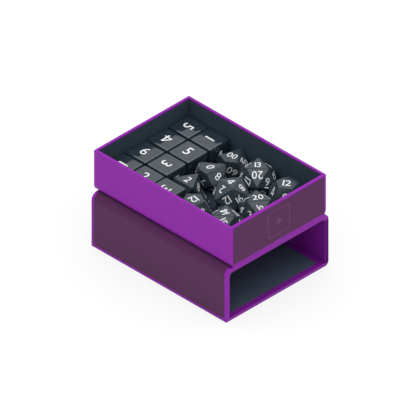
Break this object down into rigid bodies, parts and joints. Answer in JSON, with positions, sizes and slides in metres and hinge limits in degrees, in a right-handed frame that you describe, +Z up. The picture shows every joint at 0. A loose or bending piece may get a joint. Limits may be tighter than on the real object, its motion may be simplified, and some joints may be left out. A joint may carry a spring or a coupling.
{
  "type": "dice storage chest",
  "caption": "Slip-case dice chest: leatherette drawer full of polyhedral dice, set on top of the open-ended sleeve it slides into.",
  "frame": {"origin": "centre of the sleeve's underside", "axes": "+Z up; -Y is the front, where the panelled drawer front is; length along Y; the drawer stands on the sleeve's roof"},
  "size_m": [0.079, 0.1058, 0.0616],
  "materials": {
    "greyboard": "matt",
    "purple_leatherette": "satin grained",
    "dark_suede": "matt",
    "slate_lining": "matt",
    "dice_resin": "gloss"
  },
  "bodies": {
    "sleeve": {"sleeve_base_board": "greyboard", "sleeve_base_wrap": "purple_leatherette", "sleeve_facing": "dark_suede", "sleeve_left_board": "greyboard", "sleeve_liner": "purple_leatherette", "sleeve_right_board": "greyboard", "sleeve_top_board": "greyboard", "sleeve_wrap": "purple_leatherette", "tunnel_floor_lining": "slate_lining"},
    "drawer": {"drawer_back_board": "greyboard", "drawer_back_lining": "slate_lining", "drawer_base_wrap": "purple_leatherette", "drawer_floor_lining": "slate_lining", "drawer_front_board": "greyboard", "drawer_front_facing": "dark_suede", "drawer_front_lining": "slate_lining", "drawer_left_lining": "slate_lining", "drawer_right_lining": "slate_lining", "drawer_tray_board": "greyboard", "drawer_wrap": "purple_leatherette"},
    "d10_middle": {"d10_middle": "dice_resin"},
    "d10_right": {"d10_right": "dice_resin"},
    "d12_left": {"d12_left": "dice_resin"},
    "d12_right": {"d12_right": "dice_resin"},
    "d20_front": {"d20_front": "dice_resin"},
    "d20_left": {"d20_left": "dice_resin"},
    "d20_middle": {"d20_middle": "dice_resin"},
    "d20_right": {"d20_right": "dice_resin"},
    "d4_left": {"d4_left": "dice_resin"},
    "d6_11": {"d6_11": "dice_resin"},
    "d6_12": {"d6_12": "dice_resin"},
    "d6_13": {"d6_13": "dice_resin"},
    "d6_14": {"d6_14": "dice_resin"},
    "d6_21": {"d6_21": "dice_resin"},
    "d6_22": {"d6_22": "dice_resin"},
    "d6_23": {"d6_23": "dice_resin"},
    "d6_24": {"d6_24": "dice_resin"},
    "d6_31": {"d6_31": "dice_resin"},
    "d8_left": {"d8_left": "dice_resin"}
  },
  "joints": [
    {"name": "drawer_slide", "type": "slide", "parent": "sleeve", "child": "drawer", "axis": [0, -1, 0], "range_m": [0, 0.105]},
    {"name": "d10_middle_lift", "type": "slide", "parent": "drawer", "child": "d10_middle", "axis": [0, 0, 1], "range_m": [0, 0.05]},
    {"name": "d10_right_lift", "type": "slide", "parent": "drawer", "child": "d10_right", "axis": [0, 0, 1], "range_m": [0, 0.05]},
    {"name": "d12_left_lift", "type": "slide", "parent": "drawer", "child": "d12_left", "axis": [0, 0, 1], "range_m": [0, 0.05]},
    {"name": "d12_right_lift", "type": "slide", "parent": "drawer", "child": "d12_right", "axis": [0, 0, 1], "range_m": [0, 0.05]},
    {"name": "d20_front_lift", "type": "slide", "parent": "drawer", "child": "d20_front", "axis": [0, 0, 1], "range_m": [0, 0.05]},
    {"name": "d20_left_lift", "type": "slide", "parent": "drawer", "child": "d20_left", "axis": [0, 0, 1], "range_m": [0, 0.05]},
    {"name": "d20_middle_lift", "type": "slide", "parent": "drawer", "child": "d20_middle", "axis": [0, 0, 1], "range_m": [0, 0.05]},
    {"name": "d20_right_lift", "type": "slide", "parent": "drawer", "child": "d20_right", "axis": [0, 0, 1], "range_m": [0, 0.05]},
    {"name": "d4_left_lift", "type": "slide", "parent": "drawer", "child": "d4_left", "axis": [0, 0, 1], "range_m": [0, 0.05]},
    {"name": "d6_11_lift", "type": "slide", "parent": "drawer", "child": "d6_11", "axis": [0, 0, 1], "range_m": [0, 0.05]},
    {"name": "d6_12_lift", "type": "slide", "parent": "drawer", "child": "d6_12", "axis": [0, 0, 1], "range_m": [0, 0.05]},
    {"name": "d6_13_lift", "type": "slide", "parent": "drawer", "child": "d6_13", "axis": [0, 0, 1], "range_m": [0, 0.05]},
    {"name": "d6_14_lift", "type": "slide", "parent": "drawer", "child": "d6_14", "axis": [0, 0, 1], "range_m": [0, 0.05]},
    {"name": "d6_21_lift", "type": "slide", "parent": "drawer", "child": "d6_21", "axis": [0, 0, 1], "range_m": [0, 0.05]},
    {"name": "d6_22_lift", "type": "slide", "parent": "drawer", "child": "d6_22", "axis": [0, 0, 1], "range_m": [0, 0.05]},
    {"name": "d6_23_lift", "type": "slide", "parent": "drawer", "child": "d6_23", "axis": [0, 0, 1], "range_m": [0, 0.05]},
    {"name": "d6_24_lift", "type": "slide", "parent": "drawer", "child": "d6_24", "axis": [0, 0, 1], "range_m": [0, 0.05]},
    {"name": "d6_31_lift", "type": "slide", "parent": "drawer", "child": "d6_31", "axis": [0, 0, 1], "range_m": [0, 0.05]},
    {"name": "d8_left_lift", "type": "slide", "parent": "drawer", "child": "d8_left", "axis": [0, 0, 1], "range_m": [0, 0.05]}
  ]
}
